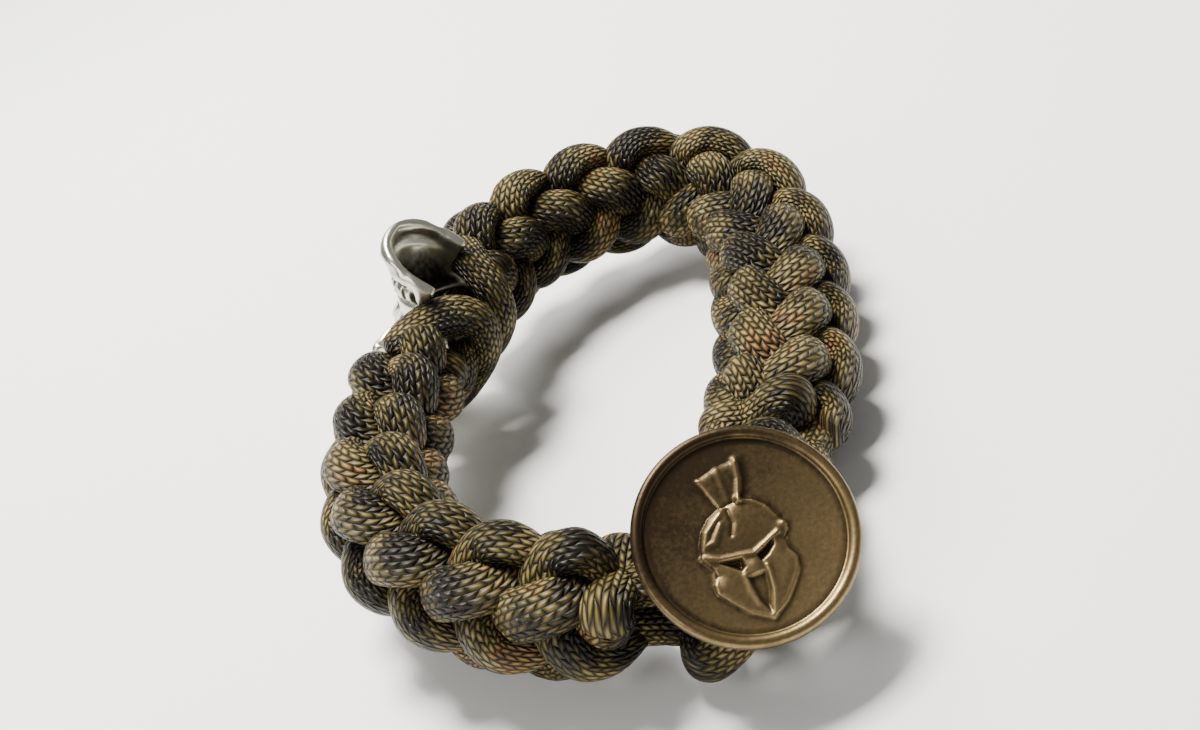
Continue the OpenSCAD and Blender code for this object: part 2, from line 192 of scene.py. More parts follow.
def unit(rows):
    return rows / np.linalg.norm(rows, axis=1, keepdims=True)


def tube(line, normal, height, width, sides=CORD_SIDES, u0=0.0):
    """Cord along a line, its short side along the normal. Gives vertices, faces and UVs (turn, mm)."""
    t = unit(np.gradient(line, axis=0))
    n = unit(normal - (normal * t).sum(1, keepdims=True) * t)
    b = np.cross(t, n)
    ang = np.linspace(0, 2 * np.pi, sides, endpoint=False)
    height = np.broadcast_to(height, len(line))[:, None, None]
    width = np.broadcast_to(width, len(line))[:, None, None]
    verts = (line[:, None] + n[:, None] * np.cos(ang)[None, :, None] * height / 2
             + b[:, None] * np.sin(ang)[None, :, None] * width / 2)
    length = run_length(line)
    faces = grid_faces(len(line), sides)
    i, j = np.meshgrid(np.arange(len(line) - 1), np.arange(sides), indexing="ij")
    u = np.stack([j, j + 1, j + 1, j], -1) / sides + u0
    v = np.stack([length[i], length[i], length[i + 1], length[i + 1]], -1)
    return verts.reshape(-1, 3), faces, np.stack([u, v], -1).reshape(-1, 4, 2)


def swept_curve(points, steps=CURVE_STEPS):
    """Points of a smooth curve, with the same number of steps in each piece of it."""
    last = len(points) - 1
    return curve(points, np.linspace(0, last, steps * last + 1))


def rounded_ends(line, size, reach):
    """A cord's size at each point of its line. It closes in a dome at both ends."""
    length = run_length(line)
    near = np.clip(np.minimum(length, length[-1] - length) / reach, 0, 1)
    return size * np.sqrt(np.maximum(1 - (1 - near) ** 2, 0.0004))


def joined(name, parts):
    verts, faces, uvs, at = [], [], [], 0
    for v, f, uv in parts:
        verts.append(v)
        faces.append(f + at)
        uvs.append(uv)
        at += len(v)
    return make_mesh(name, resting(np.vstack(verts)), np.vstack(faces), np.vstack(uvs))


# Materials
STITCH_COLUMNS, STITCH_LENGTH, STITCH_SLANT, STITCH_RELIEF = 24.0, 0.84, 0.36, 0.34 * MM
DYE_RADIUS = 1.6
DYES = [
    (0.0, (0.005, 0.003, 0.0012)), (0.37, (0.015, 0.010, 0.003)), (0.44, (0.052, 0.038, 0.011)),
    (0.53, (0.105, 0.079, 0.024)), (0.62, (0.210, 0.162, 0.062)), (0.69, (0.215, 0.118, 0.040)),
    (0.80, (0.075, 0.040, 0.015))]
# Pewter, and the pewter's colour in painted shade
PEWTER, PEWTER_IN_SHADE = (0.55, 0.54, 0.46), (0.034, 0.032, 0.021)
# Brass from golden in painted light to dark brown in painted shade and wear
BRASS = [(0.10, (0.350, 0.265, 0.132)), (0.50, (0.165, 0.116, 0.054)), (0.90, (0.036, 0.024, 0.013))]


class Nodes:
    """Short ways to write a node material."""

    def __init__(self, name):
        self.mat = bpy.data.materials.new(name)
        self.mat.use_nodes = True
        self.tree = self.mat.node_tree
        self.tree.nodes.clear()
        out = self.tree.nodes.new("ShaderNodeOutputMaterial")
        self.bsdf = self.tree.nodes.new("ShaderNodeBsdfPrincipled")
        self.tree.links.new(self.bsdf.outputs[0], out.inputs["Surface"])

    def link(self, value, socket):
        if hasattr(value, "is_output"):
            self.tree.links.new(value, socket)
        else:
            socket.default_value = value

    def add(self, a, b):
        return self.math("ADD", a, b)

    def times(self, a, b):
        return self.math("MULTIPLY", a, b)

    def minus(self, a, b):
        return self.math("SUBTRACT", a, b)

    def math(self, op, a, b=None):
        node = self.tree.nodes.new("ShaderNodeMath")
        node.operation = op
        for k, v in enumerate((a, b)):
            if v is not None:
                self.link(v, node.inputs[k])
        return node.outputs[0]

    def ramp(self, value, stops):
        node = self.tree.nodes.new("ShaderNodeValToRGB")
        while len(node.color_ramp.elements) < len(stops):
            node.color_ramp.elements.new(0.5)
        for e, (pos, col) in zip(node.color_ramp.elements, stops):
            e.position = pos
            e.color = (*col, 1) if not isinstance(col, float) else (col, col, col, 1)
        self.link(value, node.inputs[0])
        return node.outputs[0]

    def noise(self, scale, detail=3.0, rough=0.55, vector=None):
        node = self.tree.nodes.new("ShaderNodeTexNoise")
        node.inputs["Scale"].default_value = scale
        node.inputs["Detail"].default_value = detail
        node.inputs["Roughness"].default_value = rough
        if vector is None:
            vector = self.tree.nodes.new("ShaderNodeTexCoord").outputs["Object"]
        self.link(vector, node.inputs["Vector"])
        return node.outputs["Fac"]

    def attribute(self, name):
        node = self.tree.nodes.new("ShaderNodeAttribute")
        node.attribute_name = name
        return node.outputs["Fac"]

    def mix(self, fac, a, b, blend="MIX"):
        node = self.tree.nodes.new("ShaderNodeMix")
        node.data_type = "RGBA"
        node.blend_type = blend
        self.link(fac, node.inputs[0])
        self.link(a if hasattr(a, "is_output") else (*a, 1), node.inputs[6])
        self.link(b if hasattr(b, "is_output") else (*b, 1), node.inputs[7])
        return node.outputs[2]

    def vector(self, x, y, z):
        node = self.tree.nodes.new("ShaderNodeCombineXYZ")
        for k, v in enumerate((x, y, z)):
            self.link(v, node.inputs[k])
        return node.outputs[0]

    def bump(self, height, distance, strength=1.0):
        node = self.tree.nodes.new("ShaderNodeBump")
        node.inputs["Strength"].default_value = strength
        node.inputs["Distance"].default_value = distance
        self.link(height, node.inputs["Height"])
        self.link(node.outputs[0], self.bsdf.inputs["Normal"])


def sheath(name, shade=1.0):
    """Braided sheath of a cord: stitches in slanting rows, dyed in patches, with painted shade in the
    grooves between the stitches; shade scales it all down as painted shade. The UVs are (turn, mm).
    """
    m = Nodes(name)
    uv = m.tree.nodes.new("ShaderNodeUVMap")
    uv.uv_map = "UVMap"
    split = m.tree.nodes.new("ShaderNodeSeparateXYZ")
    m.link(uv.outputs[0], split.inputs[0])
    u, v = split.outputs[0], split.outputs[1]
    c = m.times(u, STITCH_COLUMNS)
    column, across = m.math("FLOOR", c), m.math("FRACT", c)
    odd = m.minus(m.times(m.math("MODULO", column, 2.0), 2.0), 1.0)
    slant = m.times(odd, m.add(m.times(m.minus(across, 0.5), STITCH_SLANT), 0.25))
    w = m.add(m.math("DIVIDE", v, STITCH_LENGTH), slant)
    row, along = m.math("FLOOR", w), m.math("FRACT", w)
    dome = m.times(m.math("POWER", m.math("SINE", m.times(along, math.pi)), 0.75),
                   m.math("POWER", m.math("SINE", m.times(across, math.pi)), 0.65))
    white = m.tree.nodes.new("ShaderNodeTexWhiteNoise")
    white.noise_dimensions = "3D"
    m.link(m.vector(column, row, 3.0), white.inputs["Vector"])
    turn = m.times(u, 2 * math.pi)
    place = m.vector(m.times(m.math("COSINE", turn), DYE_RADIUS),
                     m.times(m.math("SINE", turn), DYE_RADIUS), v)
    patches = m.noise(0.24, 1.5, 0.5, place)
    spread = m.times(m.minus(white.outputs["Value"], 0.5), 0.16)
    dyed = m.ramp(m.add(patches, spread), DYES)
    # Painted shade: darker towards the grooves between the stitches, and darker still by shade
    groove = m.ramp(dome, [(0.0, 0.10 * shade), (0.45, 0.34 * shade), (0.85, 1.0 * shade)])
    m.link(m.mix(1.0, dyed, groove, "MULTIPLY"), m.bsdf.inputs["Base Color"])
    m.bsdf.inputs["Roughness"].default_value = 0.44
    m.bsdf.inputs["Specular IOR Level"].default_value = 0.18
    m.bump(dome, STITCH_RELIEF)
    return m.mat


def bead_metal(name):
    """Polished cast metal, with painted shade where it is deep."""
    m = Nodes(name)
    deep = m.attribute("deep")
    speckle = m.noise(900.0, 4.0, 0.6)
    # Painted shade where the bead is deep, broken up by speckles
    dark = m.ramp(m.add(deep, m.times(m.minus(speckle, 0.5), 0.5)), [(0.30, 0.0), (0.75, 1.0)])
    m.link(m.mix(dark, PEWTER, PEWTER_IN_SHADE), m.bsdf.inputs["Base Color"])
    m.bsdf.inputs["Metallic"].default_value = 1.0
    m.link(m.ramp(m.add(dark, m.times(speckle, 0.3)), [(0.0, 0.24), (1.0, 0.60)]),
           m.bsdf.inputs["Roughness"])
    m.bump(m.noise(700.0, 3.0), 0.00005, 0.5)
    return m.mat


def button_metal(name, centre, painted_shade_way):
    """Antique brass with fine speckles and cloudy wear, and painted light and shade: golden at one side,
    dark brown at the other, the darker way, and painted shade in its hollows.
    """
    m = Nodes(name)
    coord = m.tree.nodes.new("ShaderNodeTexCoord").outputs["Object"]
    dot = m.tree.nodes.new("ShaderNodeVectorMath")
    dot.operation = "DOT_PRODUCT"
    m.link(coord, dot.inputs[0])
    dot.inputs[1].default_value = painted_shade_way
    # Painted light and shade: lighter at one side, darker the darker way
    side = m.add(m.times(m.minus(dot.outputs["Value"], centre), 38.0), 0.5)
    cloud = m.noise(260.0, 4.0, 0.6)
    speckle = m.noise(2600.0, 3.0, 0.6)
    wear_and_light = m.add(m.times(side, 0.75), m.times(cloud, 0.6))
    wear_and_light = m.add(wear_and_light, m.times(m.minus(speckle, 0.5), 0.35))
    # Painted shade in the hollows
    wear_and_light = m.add(wear_and_light, m.times(m.attribute("deep"), 0.8))
    m.link(m.ramp(wear_and_light, BRASS), m.bsdf.inputs["Base Color"])
    m.bsdf.inputs["Metallic"].default_value = 0.92
    m.link(m.ramp(cloud, [(0.3, 0.30), (0.7, 0.46)]), m.bsdf.inputs["Roughness"])
    m.bump(m.add(m.times(speckle, 0.6), cloud), 0.00004, 0.6)
    return m.mat


def plain(name, colour, rough):
    m = Nodes(name)
    cloud = m.noise(6.0, 2.0)
    m.link(m.mix(m.times(cloud, 0.05), colour, tuple(0.9 * c for c in colour)),
           m.bsdf.inputs["Base Color"])
    m.bsdf.inputs["Roughness"].default_value = rough
    return m.mat


# Knotted bands
def drawn_in(s, start, end):
    """Share of the band's full size, which closes in near both ends."""
    near = np.clip(np.minimum(s - start, end - s) / END_LENGTH, 0, 1)
    return 1 - (1 - END_SHARE) * (1 - near) ** 2


def band_strand(start, end, knots, second, u0):
    """One of a band's two cords, through all its knots. The second is turned half round."""
    pitch = (end - start) / knots
    rows = np.vstack([STRAND + [0, 0, k] for k in range(-1, knots + 2)])
    steps = 10
    at = np.arange(0, len(rows) - 1, 1 / steps)
    p = curve(rows, at)
    side = -1 if second else 1
    across = side * p[:, 0] * (BAND_WIDTH - PACKED_CORD_D) / 2
    outward = side * p[:, 1] * (BAND_THICKNESS - PACKED_CORD_D) / 2
    s = start + (p[:, 2] + (0.5 if second else 0)) * pitch
    inside = np.where((s > start + STRAND_INSET) & (s < end - STRAND_INSET))[0]
    pick = slice(inside[0], inside[-1] + 1)
    across, outward = across[pick], outward[pick]
    s = np.clip(s[pick], start + STRAND_INSET, end - STRAND_INSET)
    flat = np.stack([across, outward, s], -1)
    length = run_length(flat)
    dive = np.clip(np.minimum(length, length[-1] - length) / 5.0, 0, 1)
    share = drawn_in(s, start, end) * (0.45 + 0.55 * dive * dive * (3 - 2 * dive))
    line = on_band(s, across * share, outward * share)
    far = on_band(s, across * share * 1.1 + 1e-4, outward * share * 1.1)
    radial = far - line
    normal = smooth_rows(radial * np.linalg.norm(radial, axis=1, keepdims=True), steps)
    return tube(line, normal, rounded_ends(line, BAND_CORD_HEIGHT, 2.0),
                rounded_ends(line, BAND_CORD_WIDTH, 2.0), u0=u0)


def core(name, start, end):
    """The inside of a band, which closes the gaps between its two cords, in painted shade."""
    s = np.arange(start + 1.0, end - 1.0, 0.8)
    line = on_band(s, 0 * s, 0 * s)
    near = on_band(s, 0 * s + 1, 0 * s) - line
    taper = CORE_SHARE * drawn_in(s, start, end)
    v, f, uv = tube(line, near, taper * BAND_WIDTH, taper * BAND_THICKNESS, CORE_SIDES)
    return make_mesh(name, resting(v), f, uv)


band_mat = sheath("band_sheath")
# The core's sheath is painted a quarter as bright: painted shade between the cords
shaded_core_mat = sheath("core_sheath", shade=0.25)
start, bead_s, end = BAND_START * TOTAL, BEAD_AT * TOTAL, BAND_END * TOTAL
for node, a, b, knots, shift in (("knot_band_right", start, bead_s - BEAD_HALF, RIGHT_KNOTS, 0.0),
                                 ("knot_band_left", bead_s + BEAD_HALF, end, LEFT_KNOTS, 3.0)):
    weave = joined(node + "_cords", [band_strand(a, b, knots, False, shift),
                                     band_strand(a, b, knots, True, shift + 7)])
    dress(weave, band_mat, node)
    dress(core(node + "_core", a, b), shaded_core_mat)


# Free cords
cord_mat = sheath("cord_sheath")


def free_cord(node, points, diameter, squash, extend, u0):
    """A cord that runs free, with both ends led on into the bands."""
    points = np.asarray(points, float)
    ends = unit(np.array([points[0] - points[1], points[-1] - points[-2]])) * extend
    line = swept_curve(np.vstack([points[0] + ends[0], points, points[-1] + ends[1]]))
    normal = np.tile([0.0, 0.0, 1.0], (len(line), 1))
    strand = tube(line, normal, rounded_ends(line, diameter * squash, 0.6),
                  rounded_ends(line, diameter / squash, 0.6), FREE_CORD_SIDES, u0)
    dress(joined(node + "_weave", [strand]), cord_mat, node)


# Axes and middle of the button: right, up along its face, and out of the face
turn, lean = math.radians(BUTTON_TURN), math.radians(BUTTON_LEAN)
RIGHT = np.array([math.cos(turn), math.sin(turn), 0])
UP = np.array([-math.sin(turn) * math.sin(lean), math.cos(turn) * math.sin(lean), math.cos(lean)])
OUT = np.cross(RIGHT, UP)
CENTRE = np.array([21.581, -33.368, 14.4])


def from_button(rows):
    """Points beside the button's middle, along the ring's own axes."""
    return [CENTRE + np.array(r) for r in rows]


def on_button(p):
    """A point along the button's axes."""
    return CENTRE + p[0] * RIGHT + p[1] * UP + p[2] * OUT


SPREAD, STRAIGHT_OUT, END_GAP, SHANK_DROP = 4.3, 2.3, 0.5, 8.4
free_cord("button_cord", [
    beside(start - END_GAP, 0, -SPREAD), beside(start - STRAIGHT_OUT, 0, -SPREAD),
    *from_button([[-6.7, 15, -6.6], [-6.6, 10.5, -7.2], [-6.3, 6.5, -7.7], [-5.0, 3.1, -7.6]]),
    *[on_button([x, 0, -SHANK_DROP]) for x in (-1.8, 0, 1.8)],
    *from_button([[2.8, 6.5, -7.4], [3.7, 10.5, -7.1], [3.4, 15, -6.8]]),
    beside(start - STRAIGHT_OUT, 0, SPREAD), beside(start - END_GAP, 0, SPREAD)],
    CORD_D, squash=0.97, extend=2.5, u0=1.0)
free_cord("closing_loop", [
    beside(end + END_GAP, 2.3, 0), beside(end + STRAIGHT_OUT, 2.7, 0.3),
    *from_button([[-4.3, 0.3, -1.9], [-4.3, 6.5, -2.4], [-3.8, 12.5, -2.9],
                  [-1.0, 16.5, -3.1], [1.9, 13.0, -2.9], [3.0, 7.5, -2.4], [2.7, 2.0, -2.9],
                  [0.7, -2.3, -5.9], [-3.3, -4.8, -9.6]]),
    beside(end + 1.7 * STRAIGHT_OUT, -2.7, 1.9), beside(end + STRAIGHT_OUT, -2.4, 0.4),
    beside(end + END_GAP, -2.4, 0)], CORD_D, squash=0.97, extend=2.5, u0=5.0)

# Axes and middle of the bead: x out of its face, y along the ring, and z to the open underside
bead_lean = math.radians(BEAD_LEAN)
tangent = tangent_at(np.array(bead_s))
E_T = np.array([tangent[0], tangent[1], 0])
E_OUT = np.array([tangent[1], -tangent[0], 0])
E_UP = np.array([0, 0, 1.0])
BX = E_OUT * math.cos(bead_lean) + E_UP * math.sin(bead_lean)
BZ = -E_OUT * math.sin(bead_lean) + E_UP * math.cos(bead_lean)
BEAD = beside(np.array(bead_s), 0, 0) - E_OUT * BEAD_INWARD


def in_bead(x, y, z):
    return BEAD + x * BX + y * E_T + z * BZ


TEETH_SLOPE, SLOPE_TOP = 38.0, (10.0, 7.0)
CORD_STEP = (BEAD_CORD_D + 0.24) / 2
for node, side in (("bead_cord_upper", 1), ("bead_cord_lower", -1)):
    free_cord(node, [in_bead(0, y, side * CORD_STEP) for y in (-7.4, -3.7, 0, 3.7, 7.4)],
              BEAD_CORD_D, squash=1.0, extend=1.2, u0=2.0 * side)


# The last turns of both bands, which close over the bead's back, each with a short strand under it
LAST_TURN = [(3.0, 10.5, 3.0), (2.2, 7.4, 5.2), (0.2, 4.4, 6.7), (-2.6, 2.7, 6.6), (-4.9, 2.35, 4.3),
             (-5.6, 2.6, 1.0), (-5.2, 4.6, -2.2), (-3.2, 8.8, -3.6)]
UNDER_TURN = [(-0.8, 10.6, 0.4), (-2.9, 8.8, 0.8), (-4.6, 6.9, 0.9), (-3.6, 4.1, 2.9), (-2.5, 3.5, 4.3)]


def turn_strand(points, side, steps, width, u0):
    line = swept_curve(np.array([in_bead(x, -side * y, z) for x, y, z in points]), steps)
    radial = line - (BEAD + ((line - BEAD) @ E_T)[:, None] * E_T)
    return tube(line, radial, rounded_ends(line, TURN_CORD_HEIGHT, 1.0),
                rounded_ends(line, width, 1.0), u0=u0)


for node, side, u0 in (("knot_band_left", -1, 4.0), ("knot_band_right", 1, 9.0)):
    turn_piece = joined(node + "_last_turn", [
        turn_strand(LAST_TURN, side, CURVE_STEPS, TURN_CORD_WIDTH, u0),
        turn_strand(UNDER_TURN, side, UNDER_STEPS, UNDER_CORD_WIDTH, u0 + 3)])
    dress(turn_piece, band_mat)


# Skull bead
def remeshed(node, name, voxel):
    """A copy of a CAD node with even, fine faces."""
    obj = bpy.data.objects.new(name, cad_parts[node].data.copy())
    bpy.context.scene.collection.objects.link(obj)
    mod = obj.modifiers.new("even", "REMESH")
    mod.mode = "VOXEL"
    mod.voxel_size = voxel
    dg = bpy.context.evaluated_depsgraph_get()
    out = bpy.data.meshes.new_from_object(obj.evaluated_get(dg))
    obj.modifiers.clear()
    obj.data = out
    out.name = name
    return obj


def neighbours(obj):
    """Gives the function that averages values over each vertex's neighbours."""
    n = len(obj.data.vertices)
    e = np.zeros(len(obj.data.edges) * 2, np.int32)
    obj.data.edges.foreach_get("vertices", e)
    e = e.reshape(-1, 2)
    count = np.bincount(e.ravel(), minlength=n).astype(float)

    def average(v):
        out = np.zeros_like(v)
        for k in range(v.shape[1]):
            out[:, k] = (np.bincount(e[:, 0], v[e[:, 1], k], n) + np.bincount(e[:, 1], v[e[:, 0], k], n))
        return out / count[:, None]
    return average


def read_rows(items, what):
    v = np.zeros(len(items) * 3, np.float32)
    items.foreach_get(what, v)
    return v.reshape(-1, 3).astype(float)


def move_points(obj, v):
    """Moves the vertices and gives the new normals."""
    obj.data.vertices.foreach_set("co", v.astype(np.float32).ravel())
    obj.data.update()
    return read_rows(obj.data.vertex_normals, "vector")


def step(x, a, b):
    """Rises smoothly from 0 at a to 1 at b."""
    t = np.clip((x - a) / (b - a), 0, 1)
    return t * t * (3 - 2 * t)


def bell(x, width):
    return np.exp(-(x / width) ** 2)


TEETH_ROWS, TEETH_HALF_HEIGHT, TOOTH_DEGREES = (-1.75, -3.85), 1.0, 16.0
JAW_RADIUS = 5.05
EYE_AT, PATCH_AT, PATCH_RADIUS = (3.3, -1.6), (-3.3, -1.6), 2.7
LIP_Z = 8.0
SMOOTHING = 0.4
BEAD_VOXEL = 0.00022
BEAD_ROUNDS = 24


def skull():
    """The bead: the CAD node's form, with smooth relief pushed out of it and into it."""
    obj = remeshed("skull_bead", "skull_bead_cast", BEAD_VOXEL)
    average = neighbours(obj)
    v = read_rows(obj.data.vertices, "co")
    for _ in range(6):
        v = v + 0.6 * (average(v) - v)
    n = move_points(obj, v)
    # Places and normals along the bead's own axes, in millimetres
    placed, facing = ((v / MM) - REST_SHIFT) @ REST - BEAD, n @ REST
    x, y, z = placed @ BX, placed @ E_T, placed @ BZ
    nx, ny, nz = facing @ BX, facing @ E_T, facing @ BZ
    # Axes on the sloping teeth: out of them, and along them up to the lip
    slope = math.radians(TEETH_SLOPE)
    out = (x - SLOPE_TOP[0]) * math.cos(slope) - (z - SLOPE_TOP[1]) * math.sin(slope)
    along = (x - SLOPE_TOP[0]) * math.sin(slope) + (z - SLOPE_TOP[1]) * math.cos(slope)
    n_out = nx * math.cos(slope) - nz * math.sin(slope)
    reach = np.hypot(np.maximum(out + JAW_RADIUS, 0), y)
    in_lip = np.hypot(np.maximum(x - 5.2, 0), y) < 4.6
    inside = (z > -3.6) & (x > -2.6) & np.where(z > 7, in_lip, reach < 4.45)
    outside = ~inside
    front = step(nx, 0.05, 0.5) * outside
    push = np.zeros(len(v))
    # The open eye's edge, and the patch over the other eye
    eye = np.hypot(y - EYE_AT[0], z - EYE_AT[1])
    push += front * (x > 2) * 0.40 * bell(eye - 2.7, 0.5)
    patch = np.hypot(y - PATCH_AT[0], z - PATCH_AT[1])
    push += front * (x > 5) * 0.5 * np.sqrt(np.clip(1 - (patch / PATCH_RADIUS) ** 2, 0, 1))
    push -= front * (x > 2) * 0.3 * bell(patch - PATCH_RADIUS - 0.4, 0.3)
    # Brow
    push += front * (x > 1.5) * 0.35 * bell(z + 5.0 - 0.08 * y ** 2, 0.8) * step(6.6 - np.abs(y), 0, 2)
    # Two rows of teeth on the slope, and the grooves above, between and below them
    arc = np.degrees(np.arctan2(y, out + JAW_RADIUS))
    on_jaw = step(np.hypot(n_out, ny), 0.4, 0.8) * step(out + JAW_RADIUS, -0.5, 1.0) * (np.abs(arc) < 84)
    jaw = outside * on_jaw
    gap = np.abs(np.mod(arc, TOOTH_DEGREES) / TOOTH_DEGREES - 0.5) * 2
    for middle in TEETH_ROWS:
        up = np.abs(along - middle) / TEETH_HALF_HEIGHT
        push += jaw * 0.16 * (1 - step(np.maximum(gap, up), 0.35, 0.8)) * (up < 1)
        push -= jaw * 0.42 * step(gap, 0.62, 0.98) * (1 - step(up, 0.8, 1.05))
    push -= jaw * 0.22 * step(-along, 0.0, 1.0)
    for place, depth, width in ((-0.55, 0.30, 0.25), (-2.8, 0.50, 0.22), (-4.95, 0.35, 0.25)):
        push -= jaw * depth * bell(along - place, width)
    # Rounded lip
    rounding = np.sqrt(np.clip(1 - (z - LIP_Z) ** 2, 0, 1))
    push += outside * step(np.hypot(nx, ny), 0.5, 0.9) * 0.22 * rounding
    # Groove on the temple
    push -= 0.3 * outside * step(np.abs(ny), 0.5, 0.9) * bell(z + 0.4 * x + 6.0, 0.5)
    v = v + n * push[:, None] * MM
    # The whole bead is smoothed once, and the lip many times
    lip_only = SMOOTHING * step(z, 6.6, 7.4)[:, None]
    for k in range(BEAD_ROUNDS):
        v = v + (lip_only if k else SMOOTHING) * (average(v) - v)
    n = move_points(obj, v)
    # Painted shade lies in the hollows, the inside, the open eye and under the teeth
    wide = v.copy()
    for _ in range(14):
        wide = average(wide)
    hollow = ((wide - v) * n).sum(1) / MM
    deep = 0.16 + hollow * 2.6 + 0.50 * inside * step(9 - z, 0.8, 5.0)
    deep += 0.55 * outside * (x > 2) * (1 - step(eye, 1.6, 2.3))
    deep += 0.5 * outside * (reach < 4.9) * bell(along + 6.0, 1.0)
    point_value(obj, "deep", np.clip(deep, 0, 1))
    obj.data.polygons.foreach_set("use_smooth", np.full(len(obj.data.polygons), True))
    obj.data.materials.clear()
    dress(obj, bead_metal("bead_cast_metal"), "skull_bead")


skull()


# Button
def polygon_distance(x, y, points):
    """Distance to a closed outline, below zero inside it."""
    pts = np.asarray(points, float)
    best = np.full(x.shape, 1e9)
    inside = np.zeros(x.shape, bool)
    for a, b in zip(pts, np.roll(pts, -1, axis=0)):
        best = np.minimum(best, segment_distance(x, y, a, b))
        crosses = ((a[1] > y) != (b[1] > y))
        at = (b[0] - a[0]) * (y - a[1]) / (b[1] - a[1] + 1e-12) + a[0]
        inside ^= crosses & (x < at)
    return np.where(inside, -best, best)


def segment_distance(x, y, a, b):
    d = np.subtract(b, a)
    t = np.clip(((x - a[0]) * d[0] + (y - a[1]) * d[1]) / (d @ d), 0, 1)
    return np.hypot(x - a[0] - t * d[0], y - a[1] - t * d[1])


def ridge(x, y, points, width):
    """A soft ridge along a line through points."""
    d = np.min([segment_distance(x, y, a, b) for a, b in zip(points, points[1:])], axis=0)
    return bell(d, width)


HELMET = [(-1.4, 2.7), (0.3, 3.1), (1.4, 2.8), (2.4, 2.0), (3.0, 0.8), (3.6, 0.2), (3.6, -0.4), (3.0, -1.1),
          (3.1, -2.0), (3.6, -2.8), (3.5, -3.9), (2.8, -5.0), (1.7, -6.3), (0.2, -7.4), (-1.5, -6.5),
          (-2.9, -5.2), (-3.7, -4.2), (-3.7, -3.5), (-3.2, -2.8), (-3.3, -2.1), (-4.1, -1.1), (-3.9, 0.1),
          (-3.5, 1.1), (-2.6, 2.1)]
CREST = [(-1.4, 2.4), (-2.6, 5.5), (-0.8, 6.2), (1.2, 6.5), (0.5, 2.8)]
EYES = [[(-2.7, -1.8), (-0.9, -1.9), (-0.8, -2.6), (-1.2, -2.9), (-1.9, -2.4)],
        [(0.4, -1.9), (2.1, -0.9), (1.9, -1.5), (1.3, -2.1), (0.6, -2.5)]]
FACE_OPENING = [(-0.9, -3.5), (0.8, -3.3), (0.7, -5.0), (0.2, -6.9), (-0.5, -5.8)]

# Ridges as height, width and line. Below zero is a groove.
RIDGES = [
    # The crest's edge and its two folds
    (0.30, 0.30, [(1.0, 6.4), (0.9, 4.8), (0.3, 3.0)]),
    (0.10, 0.22, [(-2.5, 5.4), (-1.4, 2.9)]),
    (0.08, 0.25, [(-0.8, 6.0), (-0.6, 3.2)]),
    # The bowl's lit edge, the brow, the temple and the groove behind it
    (0.24, 0.30, [(0.2, 3.0), (1.3, 2.7), (2.2, 2.0), (2.9, 0.9)]),
    (0.18, 0.24, [(-4.0, -1.1), (-2.6, -1.55), (-0.9, -1.65), (0.2, -1.75), (1.4, -1.15), (2.6, -0.5)]),
    (0.16, 0.28, [(-1.6, 2.2), (-3.1, 0.9), (-3.6, -0.2), (-2.7, -0.1), (-1.8, 1.2)]),
    (-0.14, 0.22, [(-0.9, 2.3), (-0.8, 1.2), (-1.2, 0.2)]),
    # The edges of the cheek guards
    (0.16, 0.22, [(0.95, -3.0), (0.9, -5.0), (0.4, -6.9)]),
    (0.10, 0.24, [(-1.05, -3.4), (-1.0, -4.8), (-0.6, -6.0)]),
    (0.14, 0.22, [(-4.0, -1.2), (-3.3, -2.3), (-3.6, -3.6), (-3.5, -4.3), (-1.5, -6.4), (0.1, -7.3)]),
    (0.10, 0.22, [(3.1, -1.3), (3.1, -2.1), (3.5, -2.9), (3.3, -4.0), (1.7, -6.1), (0.3, -7.2)])]
# Knobs as height, width, middle and the share of the width across: beside the brow, and the nose guard
KNOBS = [(0.22, 0.40, (3.3, 0.1), 1.0), (0.22, 0.85, (-0.05, -2.75), 0.75)]
OPENINGS = [(EYES[0], 0.50), (EYES[1], 0.50), (FACE_OPENING, 0.34)]
RELIEF_SHARE = 0.85


def domed(x, y, outline, height, bevel):
    """A flat form with rounded sides inside an outline."""
    t = np.clip(-polygon_distance(x, y, outline) / bevel, 0, 1)
    return height * np.sqrt(1 - (1 - t) ** 2)


def relief(x, y):
    """Height of the helmet figure on the button's face."""
    bowl = 0.16 * step(np.hypot((x + 0.4) / 3.6, (y - 0.6) / 2.8), 1.0, 0.0)
    h = np.maximum(domed(x, y, HELMET, 0.42, 1.1) + bowl, domed(x, y, CREST, 0.24, 0.8))
    for outline, depth in OPENINGS:
        h = h - depth * step(-polygon_distance(x, y, outline), -0.18, 0.30)
    for height, width, line in RIDGES:
        h += height * ridge(x, y, line, width)
    for height, width, middle, share in KNOBS:
        h += height * bell(np.hypot((x - middle[0]) / share, y - middle[1]), width)
    return RELIEF_SHARE * h


BUTTON_SIDES, FACE_RINGS = ((288, 110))
FACE_EDGE = (7.7, 8.1)
POST_RADIUS, POST_SIDES_EVERY, POST_RINGS = 1.0, 6, 10
WIRE_RADIUS, WIRE_STEPS, WIRE_SIDES = 0.7, 64, 20


def button_profile():
    """Radius and height from the middle of the face, over the rolled rim, to the middle of the back."""
    radius = BUTTON_D / 2
    r_face = np.linspace(0.02, radius - 1.25, FACE_RINGS)
    over = np.radians(np.linspace(165, -75, 18))
    below = np.radians(np.linspace(70, -80, 10))
    r = np.concatenate([r_face, [radius - 1.12], radius - 0.52 + 0.52 * np.cos(over),
                        radius - 0.62 + 0.52 * np.cos(below), [radius - 1.4, 2.0, 0.02]])
    z = np.concatenate([0.60 + 0.16 * (r_face / 8.2) ** 2, [0.72], 0.80 + 0.50 * np.sin(over),
                        -0.12 + 0.42 * np.sin(below), [-0.58, -0.60, -0.60]])
    return r, z


